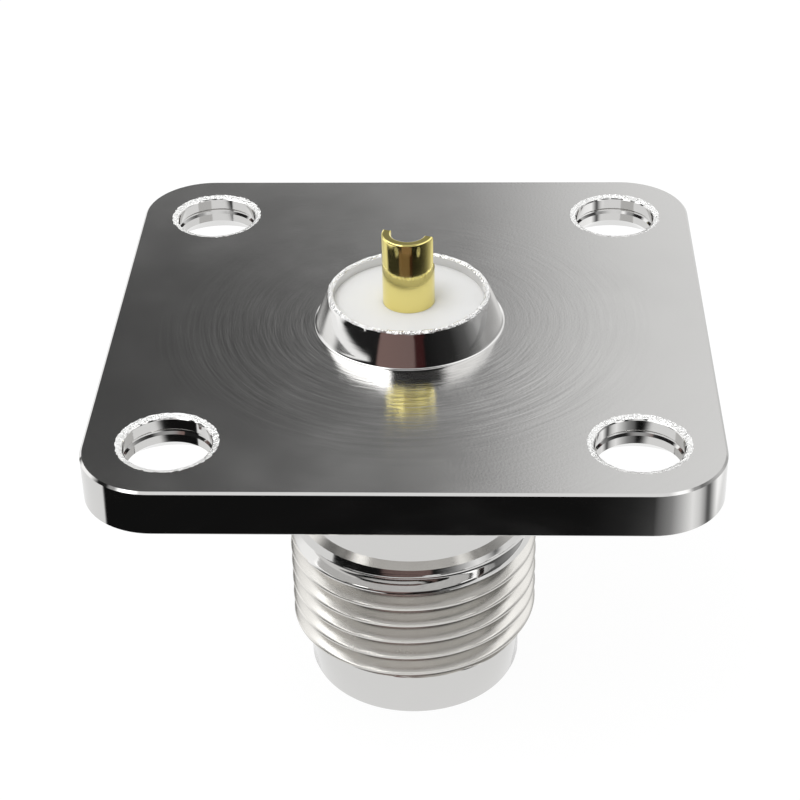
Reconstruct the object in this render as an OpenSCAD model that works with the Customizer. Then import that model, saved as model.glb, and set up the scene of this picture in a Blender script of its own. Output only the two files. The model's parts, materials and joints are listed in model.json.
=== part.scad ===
// Threaded coaxial panel jack with a square four-hole flange and a rear solder cup.
// The origin is the centre of the front rim, on which the part stands.
// +Z runs backwards along the axis, to the solder cup. All lengths are millimetres.

/* [Flange] */
// Side of the square flange
flange_w = 25; // [20:0.5:32]
// Thickness of the flange
flange_t = 2; // [1.7:0.1:3]
// Radius of the flange's four upright corners
corner_r = 3; // [1:0.25:4]
// Chamfer round the edges of the flange
edge_break = 0.09; // [0.05:0.01:0.3]

/* [Screw holes] */
// Distance from the centre of each hole to the two nearest sides of the flange
hole_margin = 3.35; // [3:0.05:4.2]
// Diameter of each hole
hole_d = 3.5; // [2.8:0.1:3.8]
// How far the chamfer at the rear face widens each hole, on the radius
hole_break = 0.28; // [0.05:0.01:0.35]
// Depth of that chamfer
hole_break_t = 0.08; // [0.05:0.01:0.2]
// Depth of the countersink at the front face, for flat-headed screws
sink_t = 0.8; // [0.2:0.05:0.85]
// Full angle of the countersink
sink_angle = 100; // [80:1:110]
// Width of the fine groove in the wall of each hole
hole_groove_w = 0.28; // [0.1:0.02:0.4]
// Depth of that groove
hole_groove_t = 0.08; // [0.02:0.01:0.15]
// Distance of the groove's middle from the rear face
hole_groove_at = 0.7; // [0.5:0.05:0.9]

/* [Barrel] */
// Length from the front rim to the flange's front face
barrel_l = 15.9; // [14:0.1:24]
// Outer diameter of the smooth front sleeve
sleeve_d = 9.6; // [9.2:0.05:9.8]
// Length of the front sleeve, from the rim to the thread's lead-in chamfer
sleeve_l = 2.13; // [1:0.1:3]
// Chamfer on the rim's outer and inner edges
rim_break = 0.2; // [0.05:0.01:0.3]
// Major diameter of the coupling thread
thread_d = 11.11; // [11:0.01:11.6]
// Pitch of the coupling thread, 28 turns to the inch
thread_pitch = 0.907; // [0.8:0.001:0.95]
// Angle round the axis at which a crest passes the end of the front sleeve
thread_turn = 119; // [0:1:360]
// Length of the thread's lead-in chamfer
lead_in = 0.57; // [0.3:0.01:1]
// Length of the plain neck between the thread and the flange
neck_l = 6.97; // [3:0.01:8]
// Chamfer where the threaded stretch drops to the neck
shoulder = 0.38; // [0.2:0.01:0.45]
// Length of the slightly tapered land between that chamfer and the full major diameter
land_l = 0.73; // [0.4:0.01:1.2]
// How far before the neck the groove has run out, measured to its middle
groove_stop = 0.9; // [0.7:0.05:1.5]
// Share of a turn over which the groove runs out
run_out = 0.25; // [0.1:0.05:0.5]

/* [Mating bore] */
// Inner diameter of the front sleeve, for the plug's outer contact
mate_d = 8.13; // [8:0.01:8.4]
// Depth of the reference shoulder behind the front rim
mate_depth = 8.4; // [8:0.1:9]
// Diameter of the hole through the web behind the reference shoulder
web_d = 6; // [5.4:0.1:6.2]
// Thickness of that web, on which the insulator seats
web_t = 1; // [0.5:0.1:2]

/* [Rear boss] */
// Diameter of the boss at the flange, inside its fillet
boss_d = 7.84; // [7.6:0.01:9]
// Height of the boss above the flange's rear face
boss_h = 1.44; // [1.2:0.01:2]
// Lean of the boss's side at its foot. It leans in further towards the lip.
boss_lean = 15; // [0:1:17]
// Outer diameter of the rolled lip at the top of the boss
lip_d = 6.82; // [6.7:0.01:7.2]
// Inner diameter of the rolled lip
lip_bore_d = 6.34; // [6.1:0.01:6.45]
// Fillet where the boss meets the flange
boss_fillet = 0.12; // [0.05:0.01:0.3]

/* [Insulator] */
// Diameter of the insulator behind the web
insulator_d = 6.6; // [6.52:0.01:6.8]
// Diameter of the nose round the centre contact
nose_d = 4.8; // [4.2:0.05:5.2]
// How far the nose reaches forwards of the reference shoulder
nose_l = 5.1; // [4.5:0.1:5.6]
// Chamfer on the nose's front edge
nose_break = 0.3; // [0.1:0.05:0.5]
// Depth of the insulator's rear face below the rolled lip
face_recess = 0.48; // [0.3:0.01:0.6]

/* [Centre contact] */
// Outer diameter of the contact, front and rear
contact_d = 2.2; // [1.95:0.01:2.3]
// How far the front end lies behind the face of the nose
contact_recess = 0.1; // [0:0.05:0.4]
// Bore of the front socket, which takes the plug's pin
socket_bore_d = 1.37; // [1.3:0.01:1.5]
// Depth of the socket bore
socket_depth = 4.5; // [4:0.1:6]
// Number of slots that part the socket into fingers
slot_count = 4; // [2:1:4]
// Width of each slot
slot_w = 0.22; // [0.1:0.01:0.25]
// Length of each slot
slot_l = 3.4; // [2:0.1:3.8]
// Play round the fingers inside the nose, on the radius
finger_room = 0.12; // [0.05:0.01:0.3]
// Number of barbs that hold the contact in the insulator
barb_count = 3; // [1:1:5]
// Height of each barb above the contact's shank
barb_t = 0.2; // [0.1:0.01:0.3]
// Distance from one barb to the next
barb_pitch = 0.8; // [0.6:0.05:1.2]

/* [Solder cup] */
// Length of the cup that stands clear of the insulator
cup_l = 3.2; // [2.6:0.05:6]
// Bore of the cup
cup_bore_d = 1.45; // [1:0.05:1.6]
// Depth of the cup's bore
cup_depth = 2.8; // [2.3:0.1:4]
// Length of the stretch that is cut down to half a tube
cup_cut_l = 1.6; // [1:0.1:2.3]
// Turn of the open side from +Y towards +X, in degrees
cup_turn = 17; // [-45:0.5:45]
// Chamfer on the cup's top edge
cup_break = 0.08; // [0.03:0.01:0.12]

/* [Fits] */
// Clearance on the radius between the insulator and what it touches
fit = 0.02; // [0.01:0.01:0.05]

/* [Hidden] */

NICKEL = [0.77, 0.77, 0.75];
PTFE = [0.96, 0.96, 0.97];
GOLD = [0.86, 0.70, 0.30];

$fn = 96;
HULL_FN = 32;       // facets round each corner post of the flange
ARC_STEPS = 8;      // straight steps along a rounded stretch of a profile
TURN_STEPS = 36;    // facets round one turn of the thread
OVER = 0.5;         // how far a cutter runs past the face that it opens

// Height and crest of an external 60 degree thread, as shares of its pitch
THREAD_DEPTH = 0.6134;
CREST = 1 / 8;

// How far the ends of the threaded piece stay inside what they are fused to, on the radius
JOIN = 0.02;
// Corners of the thread nearer than this to an end are moved onto it
NEAR = 0.012;

// Stations along the axis
flange_z0 = barrel_l;
flange_z1 = barrel_l + flange_t;
boss_z1 = flange_z1 + boss_h;
web_z1 = mate_depth + web_t;
face_z = boss_z1 - face_recess;
nose_z0 = mate_depth - nose_l;
contact_z0 = nose_z0 + contact_recess;
contact_z1 = face_z + cup_l;
neck_z0 = barrel_l - neck_l;
shoulder_z0 = neck_z0 - shoulder;

// Distance between the centres of neighbouring holes
hole_pitch = flange_w - 2 * hole_margin;

// Radii that follow from the sizes above
thread_r = thread_d / 2;
neck_r = thread_r - THREAD_DEPTH * thread_pitch;
shoulder_r = neck_r + shoulder;
seat_r = insulator_d / 2 + fit;
lip_bore_r = lip_bore_d / 2;
lip_roll = seat_r - lip_bore_r;
contact_r = contact_d / 2;

// The barbs sit half way between the web and the insulator's rear face
barb_z0 = (web_z1 + face_z - barb_count * barb_pitch) / 2;

// Points along an arc about c, from angle a0 to a1
function arc(c, r, a0, a1) =
    [for (i = [0:ARC_STEPS]) let (a = a0 + (a1 - a0) * i / ARC_STEPS) c + r * [cos(a), sin(a)]];

// Side of the boss: it leaves the fillet with its own lean and rolls on inwards to the lip
roll_from = [boss_d / 2, flange_z1 + boss_fillet]
    + boss_fillet * [1 - cos(boss_lean), -sin(boss_lean)];
roll_by = roll_from - [lip_d / 2, boss_z1];
roll_turn = atan2(roll_by[0], -roll_by[1]) - boss_lean;
roll_r = norm(roll_by) / (2 * sin(roll_turn));
boss_side = concat(
    arc([boss_d / 2 + boss_fillet, flange_z1 + boss_fillet], boss_fillet, 270, 180 + boss_lean),
    arc(
        roll_from - roll_r * [cos(boss_lean), sin(boss_lean)],
        roll_r, boss_lean, boss_lean + 2 * roll_turn
    )
);

// Half section of the front sleeve
sleeve_section = [
    [0, 0],
    [sleeve_d / 2 - rim_break, 0],
    [sleeve_d / 2, rim_break],
    [sleeve_d / 2, sleeve_l],
    [0, sleeve_l]
];

// The threaded stretch is a strip that climbs round the axis. Each turn of it has the four
// corners of one thread form: where the crest starts and ends and where the root does, as a
// height along the pitch and a depth. The strip is cut off level at both ends.
flank = THREAD_DEPTH * thread_pitch * tan(30);
form_z = thread_pitch * CREST * [-1 / 2, 1 / 2, 1 / 2, -1 / 2] + [0, 0, flank, thread_pitch - flank];
form_depth = [0, 0, 1, 1];
thread_l = shoulder_z0 - sleeve_l;
strip_steps = ceil((thread_l / thread_pitch + 2) * TURN_STEPS);

// Heights above the end of the sleeve, at step k of the strip: its crest, and corner p
function crest_z(k) = thread_pitch * (k / TURN_STEPS - 1 - thread_turn / 360);
function climb(p, k) = crest_z(k) + form_z[p];

// The groove's share of its full depth: 1 along the thread, 0 where it has run out
function groove_share(k) =
    let (left = thread_l + shoulder - groove_stop - crest_z(k) - thread_pitch / 2)
        max(0, min(1, left / (run_out * thread_pitch)));

// Radius of the stretch before its groove was cut: lead-in cone, cylinder and tapered land
function blank_r(z) = min(
    thread_r,
    sleeve_d / 2 - JOIN + (thread_r - sleeve_d / 2 + JOIN) * z / lead_in,
    shoulder_r - JOIN + (thread_r - shoulder_r + JOIN) * (thread_l - z) / land_l
);

function corner(p, k) =
    let (
        z = max(0, min(thread_l, climb(p, k))),
        root = thread_r - form_depth[p] * groove_share(k) * (thread_r - neck_r),
        r = min(root, blank_r(z)),
        a = 360 * k / TURN_STEPS
    ) [r * cos(a), r * sin(a), sleeve_l + z];

thread_points = concat(
    [for (k = [0:TURN_STEPS - 1]) corner(0, k - 9 * TURN_STEPS)],
    [for (k = [0:TURN_STEPS - 1]) corner(0, k + 99 * TURN_STEPS)],
    [for (k = [0:strip_steps], p = [0:3]) corner(p, k)]
);

// Number of a corner's point. Corners past an end share that end's ring.
function number(p, k) =
    p == 4 ? number(0, k + TURN_STEPS)
    : climb(p, k) < NEAR ? k % TURN_STEPS
    : climb(p, k) > thread_l - NEAR ? TURN_STEPS + k % TURN_STEPS
    : 2 * TURN_STEPS + 4 * k + p;

function is_whole(t) = t[0] != t[1] && t[1] != t[2] && t[2] != t[0];

thread_faces = concat(
    [[for (k = [0:TURN_STEPS - 1]) k]],
    [[for (k = [TURN_STEPS - 1:-1:0]) TURN_STEPS + k]],
    [
        for (k = [0:strip_steps - 1], p = [0:3])
            let (a = number(p, k), b = number(p, k + 1), c = number(p + 1, k + 1), d = number(p + 1, k))
                for (t = [[a, c, b], [a, d, c]]) if (is_whole(t)) t
    ]
);

// Half section of the turned outside from the thread's shoulder to the rolled lip.
// The step in the middle of the flange is buried in the plate.
rear_section = concat(
    [
        [0, shoulder_z0],
        [shoulder_r, shoulder_z0],
        [neck_r, neck_z0],
        [neck_r, flange_z0 + flange_t / 2],
        [boss_d / 2 + boss_fillet, flange_z0 + flange_t / 2]
    ],
    boss_side,
    [[0, boss_z1]]
);

// Half section of the stepped bore. The lip closes in over the insulator's edge.
body_bore = [
    [0, -OVER],
    [mate_d / 2 + rim_break + OVER, -OVER],
    [mate_d / 2, rim_break],
    [mate_d / 2, mate_depth],
    [web_d / 2, mate_depth],
    [web_d / 2, web_z1],
    [seat_r, web_z1],
    [seat_r, face_z - lip_roll],
    [lip_bore_r, face_z],
    [lip_bore_r, boss_z1 + OVER],
    [0, boss_z1 + OVER]
];

// Half section of one screw hole, below the flange's rear face at z = 0
sink_r = hole_d / 2 + sink_t * tan(sink_angle / 2);
hole_side = [
    [0, OVER],
    [hole_d / 2 + hole_break, OVER],
    [hole_d / 2 + hole_break, 0],
    [hole_d / 2, -hole_break_t],
    [hole_d / 2, hole_groove_w / 2 - hole_groove_at],
    [hole_d / 2 + hole_groove_t, -hole_groove_at],
    [hole_d / 2, -hole_groove_w / 2 - hole_groove_at],
    [hole_d / 2, sink_t - flange_t],
    [sink_r, -flange_t],
    [sink_r, -flange_t - OVER],
    [0, -flange_t - OVER]
];

module at_corners(spacing) {
    for (x = [-1, 1], y = [-1, 1])
        translate([x * spacing / 2, y * spacing / 2, 0]) children();
}

// One corner of the plate, with its edges broken
module corner_post() {
    rotate_extrude($fn = HULL_FN)
        polygon([
            [0, 0],
            [corner_r - edge_break, 0],
            [corner_r, edge_break],
            [corner_r, flange_t - edge_break],
            [corner_r - edge_break, flange_t],
            [0, flange_t]
        ]);
}

module flange_plate() {
    translate([0, 0, flange_z0])
        hull() at_corners(flange_w - 2 * corner_r) corner_post();
}

module body() {
    color(NICKEL) difference() {
        union() {
            flange_plate();
            rotate_extrude() polygon(sleeve_section);
            polyhedron(thread_points, thread_faces);
            rotate_extrude() polygon(rear_section);
        }
        rotate_extrude() polygon(body_bore);
        translate([0, 0, flange_z1])
            at_corners(hole_pitch) rotate_extrude() polygon(hole_side);
    }
}

// Saw teeth on the contact's shank, steep at the rear. grow widens them for the insulator's bore.
function barbs(grow) = [
    for (i = [0:barb_count - 1])
        let (z = barb_z0 + i * barb_pitch)
            each [
                [contact_r + grow, z - grow],
                [contact_r + barb_t + grow, z + barb_pitch / 2 - grow],
                [contact_r + barb_t + grow, z + barb_pitch / 2 + grow],
                [contact_r + grow, z + barb_pitch / 2 + grow]
            ]
];

// The insulator's outside, with its rear edge broken to lie under the rolled lip
insulator_outside = [
    [0, nose_z0],
    [nose_d / 2 - nose_break, nose_z0],
    [nose_d / 2, nose_z0 + nose_break],
    [nose_d / 2, mate_depth],
    [web_d / 2 - fit, mate_depth],
    [web_d / 2 - fit, web_z1],
    [insulator_d / 2, web_z1],
    [insulator_d / 2, face_z - lip_roll - fit],
    [lip_bore_r - fit, face_z],
    [0, face_z]
];

// The insulator's bore: room for the fingers in front, a close fit behind
finger_z1 = contact_z0 + slot_l;
insulator_bore = concat(
    [
        [0, nose_z0 - OVER],
        [contact_r + finger_room, nose_z0 - OVER],
        [contact_r + finger_room, finger_z1],
        [contact_r + fit, finger_z1]
    ],
    barbs(fit),
    [
        [contact_r + fit, face_z + OVER],
        [0, face_z + OVER]
    ]
);

module insulator() {
    color(PTFE) difference() {
        rotate_extrude() polygon(insulator_outside);
        rotate_extrude() polygon(insulator_bore);
    }
}

contact_outside = concat(
    [
        [0, contact_z0],
        [contact_r - cup_break, contact_z0],
        [contact_r, contact_z0 + cup_break]
    ],
    barbs(0),
    [
        [contact_r, contact_z1 - cup_break],
        [contact_r - cup_break, contact_z1],
        [0, contact_z1]
    ]
);

// The socket bore has a bell mouth and a drill point
socket_r = socket_bore_d / 2;
socket_bore = [
    [0, contact_z0 - OVER],
    [socket_r + cup_break + OVER, contact_z0 - OVER],
    [socket_r, contact_z0 + cup_break],
    [socket_r, contact_z0 + socket_depth],
    [0, contact_z0 + socket_depth + socket_r / tan(59)]
];

module socket_slots() {
    for (i = [0:slot_count - 1])
        rotate(i * 360 / slot_count + 45)
            translate([0, -slot_w / 2, contact_z0 - OVER])
                cube([contact_r + OVER, slot_w, slot_l + OVER]);
}

// The cup's bore, and the cut that opens its upper stretch on one side
module cup_cut() {
    translate([0, 0, contact_z1 - cup_depth])
        cylinder(d = cup_bore_d, h = cup_depth + OVER);
    rotate(-cup_turn)
        translate([-contact_r - OVER, 0, contact_z1 - cup_cut_l])
            cube([2 * (contact_r + OVER), contact_r + OVER, cup_cut_l + OVER]);
}

module center_contact() {
    color(GOLD) difference() {
        rotate_extrude() polygon(contact_outside);
        rotate_extrude() polygon(socket_bore);
        socket_slots();
        cup_cut();
    }
}

body();
insulator();
center_contact();
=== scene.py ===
# %% [markdown]
# # A threaded coaxial panel jack
#
# The real part is a small turned and milled brass connector, plated with nickel. It has a square
# flange with four screw holes, a threaded barrel in front, and a boss behind. A disc of PTFE
# closes the boss, and a gold-plated contact runs through it and ends in a half-open solder cup.
#
# The frame gives the pieces at their true size. This lesson rebuilds each one as a clean mesh
# with true roundings, because polished metal shows every facet, and then gives it its finish.

# %% Load the frame
import json
import math

import bmesh
import bpy
from mathutils import Matrix, Vector, noise
from mathutils.geometry import tessellate_polygon


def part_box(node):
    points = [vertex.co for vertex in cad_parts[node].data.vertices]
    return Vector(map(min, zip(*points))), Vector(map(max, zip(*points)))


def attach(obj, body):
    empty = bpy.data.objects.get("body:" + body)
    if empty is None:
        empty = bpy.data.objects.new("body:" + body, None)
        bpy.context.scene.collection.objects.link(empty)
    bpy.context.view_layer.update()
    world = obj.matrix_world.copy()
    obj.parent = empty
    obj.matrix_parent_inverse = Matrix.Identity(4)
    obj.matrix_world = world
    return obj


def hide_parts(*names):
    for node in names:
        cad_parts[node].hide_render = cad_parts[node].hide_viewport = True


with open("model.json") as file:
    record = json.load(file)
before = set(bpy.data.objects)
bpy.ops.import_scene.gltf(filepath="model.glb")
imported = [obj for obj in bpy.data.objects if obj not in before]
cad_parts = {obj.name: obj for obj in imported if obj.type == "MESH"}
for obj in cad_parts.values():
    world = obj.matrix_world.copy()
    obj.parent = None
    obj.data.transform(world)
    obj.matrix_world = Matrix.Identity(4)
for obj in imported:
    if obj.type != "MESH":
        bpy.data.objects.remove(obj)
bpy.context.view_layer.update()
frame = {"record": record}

# %% [markdown]
# ## Sizes
#
# Meshes are in metres, but a connector is easier to think about in millimetres. So the sizes here
# are in millimetres, and the one function that makes a mesh scales them. What the frame and its
# mounts already say is read from them, so that this script follows the part if it changes.

# %% Sizes that the frame gives
MM = 0.001
mounts = {m["name"]: m for m in frame["record"]["mounts"]}


def mount_z(name):
    """Height of a mount above the front rim, in millimetres."""
    return mounts[name]["pos_m"][2] / MM


body_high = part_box("body")[1] / MM
insulator_low, insulator_high = (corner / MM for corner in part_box("insulator"))
contact_low, contact_high = (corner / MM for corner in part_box("center_contact"))

flange_half = body_high.x
flange_front_z = mount_z("front_face")
flange_rear_z = mount_z("rear_face")
flange_t = flange_rear_z - flange_front_z
boss_top_z = body_high.z
face_z = insulator_high.z
hole_r = mounts["flange_holes"]["dims"]["hole_r_mm"]
hole_half_pitch = mounts["flange_holes"]["dims"]["spacing_x_mm"] / 2
sleeve_r = mounts["front_sleeve"]["dims"]["r_mm"]
thread_r = mounts["coupling_thread"]["dims"]["r_mm"]
thread_land = mounts["coupling_thread"]["dims"]["length_mm"]
thread_low_z = round(mount_z("coupling_thread") - thread_land / 2, 1)
socket_r = mounts["contact_socket"]["dims"]["r_mm"]
cup_bore_r = mounts["solder_cup"]["dims"]["r_mm"]
cup_depth = mounts["solder_cup"]["dims"]["length_mm"]
print("flange", flange_half * 2, "x", round(flange_t, 2), "thread from", thread_low_z, "for", thread_land)

# %% [markdown]
# The frame's mounts say nothing of the finer forms, such as chamfers, the thread's ends and the
# bores, so their sizes are given here. The last lines work out the stations that follow.

# %% Sizes of the finer forms
corner_r = 3.0
edge_break = 0.09
hole_break = 0.28
hole_break_t = 0.08
hole_groove_w = 0.28
hole_groove_t = 0.08
hole_groove_at = 0.7
sink_t = 0.8
sink_half_angle = math.radians(50)
rim_break = 0.2
thread_pitch = 25.4 / 28
DEPTH_SHARE = 0.6134
thread_depth = DEPTH_SHARE * thread_pitch
lead_in = 0.57
thread_turn = 119 / 360
land_l = 0.73
land_reach = 0.40
shoulder = 0.38
groove_stop = 0.74
run_out = 0.25
mate_r = 4.065
mate_depth = 8.4
web_r = 3.0
web_t = 1.0
boss_r = 3.92
boss_lean = 18.0
boss_fillet = 0.12
lip_r = 3.41
lip_bore_r = 3.17
lip_bevel = 0.09
nose_r = 2.4
nose_break = 0.3
contact_r = 1.1
finger_room = 0.12
slot_w = 0.22
slot_l = 3.4
socket_depth = 4.5
cup_cut_l = 1.6
cup_turn = math.radians(17)
cup_break = 0.08
fit = 0.02
touch = 0.003

root_r = thread_r - thread_depth
sleeve_top_z = thread_low_z - lead_in
land_slope = (thread_depth - shoulder) / land_l
shoulder_r = thread_r - land_slope * (land_l + land_reach)
shoulder_z = thread_low_z + thread_land + land_l
neck_low_z = shoulder_z + shoulder_r - root_r
land_low_z = shoulder_z - land_l - land_reach
print("thread root radius", round(root_r, 3), "neck starts at", round(neck_low_z, 3))

# %% [markdown]
# ## Camera
#
# The view is from behind and above, close up, so the flange narrows towards the back.
# A camera matches such a view when three things match: where it stands, where it points and
# how long its lens is. Those are settled first, because every later choice is judged through them.

# %% Camera
CAMERA_PLACE = Vector((2.86, -74.95, 63.68)) * MM
CAMERA_PITCH = math.radians(33.62)
CAMERA_YAW = math.radians(2.542)
CAMERA_ROLL = math.radians(-1.269)
LENS = 93.36
SENSOR = 36.0
CLIP = (0.001, 20)


def add_camera():
    data = bpy.data.cameras.new("camera")
    data.lens = LENS
    data.sensor_width = SENSOR
    data.clip_start, data.clip_end = CLIP
    camera = bpy.data.objects.new("camera", data)
    turn = Matrix.Rotation(CAMERA_YAW, 4, "Z") @ Matrix.Rotation(math.pi / 2 - CAMERA_PITCH, 4, "X")
    camera.matrix_world = Matrix.Translation(CAMERA_PLACE) @ turn @ Matrix.Rotation(CAMERA_ROLL, 4, "Z")
    bpy.context.scene.collection.objects.link(camera)
    bpy.context.scene.camera = camera
    return camera


print("camera at", [round(v / MM, 1) for v in add_camera().location], "mm, lens", LENS)

# %% [markdown]
# ## Nodes by hand
#
# Node trees are written here in code. A few small helpers keep that readable: they add a node and
# fill its sockets, do one step of arithmetic, fade between two values, and start a node group.

# %% Node helpers
def put(tree, kind, settings=None, **sockets):
    """Adds a node, sets its properties, and links or sets its sockets by name."""
    node = tree.nodes.new(kind)
    for name, value in (settings or {}).items():
        setattr(node, name, value)
    for name, value in sockets.items():
        fill(tree, node.inputs[name.replace("_", " ")], value)
    return node


def fill(tree, socket, value):
    """Links a socket to another one, or gives it a plain value."""
    if isinstance(value, bpy.types.NodeSocket):
        tree.links.new(value, socket)
    else:
        socket.default_value = value


def calc(tree, operation, *values):
    """One step of arithmetic. Returns its result's socket."""
    node = tree.nodes.new("ShaderNodeMath")
    node.operation = operation
    for socket, value in zip(node.inputs, values):
        fill(tree, socket, value)
    return node.outputs[0]


def smooth_fade(tree, value, start, end, **levels):
    """Rises from 0 to 1, or between other levels, as value goes from start to end, with soft ends."""
    node = put(tree, "ShaderNodeMapRange", {"interpolation_type": "SMOOTHSTEP"},
               Value=value, From_Min=start, From_Max=end, **levels)
    return node.outputs["Result"]


def new_group(name, kind, inputs, outputs):
    """A node group with named sockets. Returns the tree, its input sockets by name and its output node."""
    tree = bpy.data.node_groups.new(name, kind)
    for label, socket_type, default in inputs:
        socket = tree.interface.new_socket(label, in_out="INPUT", socket_type=socket_type)
        if default is not None:
            socket.default_value = default
    for label, socket_type in outputs:
        tree.interface.new_socket(label, in_out="OUTPUT", socket_type=socket_type)
    given = tree.nodes.new("NodeGroupInput")
    result = tree.nodes.new("NodeGroupOutput")
    return tree, {s.name: s for s in given.outputs if s.name}, result


print("node helpers:", [helper.__name__ for helper in (put, fill, calc, smooth_fade, new_group)])

# %% [markdown]
# ## Turning marks
#
# Every surface of the body was cut on a lathe, and the tool leaves fine rings round the axis.
# On a flat face the rings differ by their radius, and on a barrel by their height, so the sum of
# the two tells one ring from the next on both. A noise read along that sum, and only slowly
# round the axis, gives rings that fade in and out as real ones do. The work runs faster under
# the tool further out and the finish gets finer there, so beyond their reach the rings are faint.
# The rings are also made strongest towards the front left and faint towards the back right, both as bumps
# and as the painted shade in the faced metal's colour.

# %% Turning marks group
REACH_SPAN = 4.0
FRONT_LEFT_SPAN = (-0.3, 0.8)
FAINTEST_OUTSIDE = 0.12
FAINTEST_BEHIND = 0.2
PATCH_STRETCH = (0.08, 1.6, 1.6)
ON_AXIS = 1e-5


def build_turning_marks():
    tree, given, result = new_group(
        "turning_marks",
        "ShaderNodeTree",
        [
            ("Rings per mm", "NodeSocketFloat", 8.0),
            ("Fade round axis", "NodeSocketFloat", 1.0),
            ("Reach", "NodeSocketFloat", 8.0),
        ],
        [("Height", "NodeSocketFloat"), ("Patches", "NodeSocketFloat")],
    )
    place = put(tree, "ShaderNodeTexCoord").outputs["Object"]
    axis = put(tree, "ShaderNodeSeparateXYZ", Vector=place).outputs
    radius = calc(tree, "SQRT", calc(tree, "ADD", calc(tree, "POWER", axis["X"], 2.0),
                                     calc(tree, "POWER", axis["Y"], 2.0)))
    along = calc(tree, "MULTIPLY", calc(tree, "ADD", radius, axis["Z"]), 1 / MM)
    ring = calc(tree, "MULTIPLY", along, given["Rings per mm"])
    safe = calc(tree, "MAXIMUM", radius, ON_AXIS)
    east = calc(tree, "MULTIPLY", calc(tree, "DIVIDE", axis["X"], safe), given["Fade round axis"])
    north = calc(tree, "MULTIPLY", calc(tree, "DIVIDE", axis["Y"], safe), given["Fade round axis"])
    where = put(tree, "ShaderNodeCombineXYZ", X=ring, Y=east, Z=north).outputs[0]
    rings = put(tree, "ShaderNodeTexNoise", Vector=where, Scale=1.0, Detail=3.0, Roughness=0.6)
    coarse = put(tree, "ShaderNodeVectorMath", {"operation": "MULTIPLY"})
    fill(tree, coarse.inputs[0], where)
    coarse.inputs[1].default_value = PATCH_STRETCH
    patches = put(tree, "ShaderNodeTexNoise", Vector=coarse.outputs[0], Scale=1.0, Detail=2.0)
    radius_mm = calc(tree, "MULTIPLY", radius, 1 / MM)
    faint_from = calc(tree, "ADD", given["Reach"], REACH_SPAN)
    within_reach = smooth_fade(tree, radius_mm, given["Reach"], faint_from,
                               To_Min=1.0, To_Max=FAINTEST_OUTSIDE)
    # Strongest towards the front left: this also sets where the painted ring shade is strongest
    behind_right = calc(tree, "ADD", calc(tree, "MULTIPLY", axis["X"], 0.5), axis["Y"])
    toward_front_left = calc(tree, "DIVIDE", calc(tree, "MULTIPLY", behind_right, -1.0), safe)
    front_left_strength = smooth_fade(tree, toward_front_left, *FRONT_LEFT_SPAN, To_Min=FAINTEST_BEHIND, To_Max=1.0)
    strength = calc(tree, "MULTIPLY", within_reach, front_left_strength)
    swing = calc(tree, "MULTIPLY", calc(tree, "SUBTRACT", rings.outputs["Fac"], 0.5), strength)
    fill(tree, result.inputs["Height"], calc(tree, "ADD", swing, 0.5))
    fill(tree, result.inputs["Patches"], patches.outputs["Fac"])
    return tree


turning_marks = build_turning_marks()
given_out = [s.name for s in turning_marks.interface.items_tree if s.in_out == "OUTPUT"]
print("group", turning_marks.name, "gives", given_out)

# %% [markdown]
# ## Handling marks
#
# A plated part that has been touched is not evenly clean. Soft blotches make its gloss vary a
# little, and fine specks catch the light. Both are one group, used by the metals and by the PTFE.

# %% Handling marks group
def build_handling_marks():
    tree, given, result = new_group(
        "handling_marks",
        "ShaderNodeTree",
        [("Blotches per mm", "NodeSocketFloat", 0.35), ("Specks per mm", "NodeSocketFloat", 9.0)],
        [("Blotches", "NodeSocketFloat"), ("Specks", "NodeSocketFloat")],
    )
    place = put(tree, "ShaderNodeTexCoord").outputs["Object"]
    blotch_scale = calc(tree, "MULTIPLY", given["Blotches per mm"], 1 / MM)
    speck_scale = calc(tree, "MULTIPLY", given["Specks per mm"], 1 / MM)
    blotches = put(tree, "ShaderNodeTexNoise", Vector=place, Scale=blotch_scale, Detail=4.0)
    specks = put(tree, "ShaderNodeTexNoise", Vector=place, Scale=speck_scale, Detail=2.0)
    fill(tree, result.inputs["Blotches"], blotches.outputs["Fac"])
    fill(tree, result.inputs["Specks"], specks.outputs["Fac"])
    return tree


handling_marks = build_handling_marks()
print("group", handling_marks.name, "made")

# %% [markdown]
# ## Metals
#
# Nickel plate is a warm grey mirror. Its flat rear face was faced on the lathe, so light smears
# across the rings and a reflection turns into a soft streak that points at the axis. That is
# what anisotropy does, with a tangent that runs round the axis. The barrel, the holes and the
# sides are brighter, with only a trace of the rings. Gold plate has the same build in pale yellow.

# %% Metal materials
NICKEL = (0.655, 0.65, 0.64, 1.0)
THREAD_NICKEL = (0.665, 0.65, 0.62, 1.0)
# The edge colour is lighter than the nickel: a painted highlight for the rolled lip and the burred hole
# rims
PAINTED_EDGE_HIGHLIGHT = (0.92, 0.92, 0.91, 1.0)
GOLD = (0.85, 0.74, 0.27, 1.0)

# Where the rings' height and the sum of both blotches start and end, for shade and for gloss
RING_SPAN = (0.3, 0.7)
BLOTCH_SPAN = (0.7, 1.3)


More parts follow.
